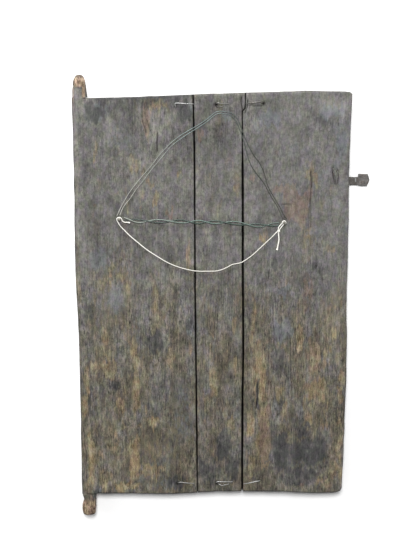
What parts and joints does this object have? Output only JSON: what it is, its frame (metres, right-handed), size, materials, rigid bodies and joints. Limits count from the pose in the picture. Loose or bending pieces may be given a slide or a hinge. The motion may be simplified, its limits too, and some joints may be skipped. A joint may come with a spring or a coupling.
{
  "type": "carved wooden shutter",
  "caption": "Small plank shutter of old hand-cut wood, carved front, plain back with stapled joints, pivot pegs on one edge, iron latch tongue and a wire and string hanger.",
  "frame": {"origin": "bottom centre of the box round the boards, iron and latch, with the shutter lying on its carved front", "axes": "+X towards the latch edge, +Y up the height of the shutter, +Z out of the plain back"},
  "size_m": [0.4168, 0.64, 0.0386],
  "materials": {
    "plank_left": "weathered, hand-adzed, worn ochre streaks",
    "plank_middle": "weathered, hand-adzed",
    "plank_right": "weathered, hand-adzed, worn ochre streaks",
    "forged_iron": "old forged iron, dull",
    "green_coating": "green plastic coating on thin wire",
    "white_string": "twisted cotton string"
  },
  "bodies": {
    "root": {"plank_left": "plank_left", "plank_middle": "plank_middle", "plank_right": "plank_right", "staple_top_left": "forged_iron", "staple_top_right": "forged_iron", "staple_bottom_left": "forged_iron", "staple_bottom_right": "forged_iron", "latch_staple": "forged_iron", "latch_tongue": "forged_iron", "nail_left": "forged_iron", "nail_right": "forged_iron", "hanging_wire_twist": "green_coating", "hanging_wire_outer": "green_coating", "hanging_wire_inner": "green_coating", "hanging_string": "white_string"}
  },
  "joints": []
}
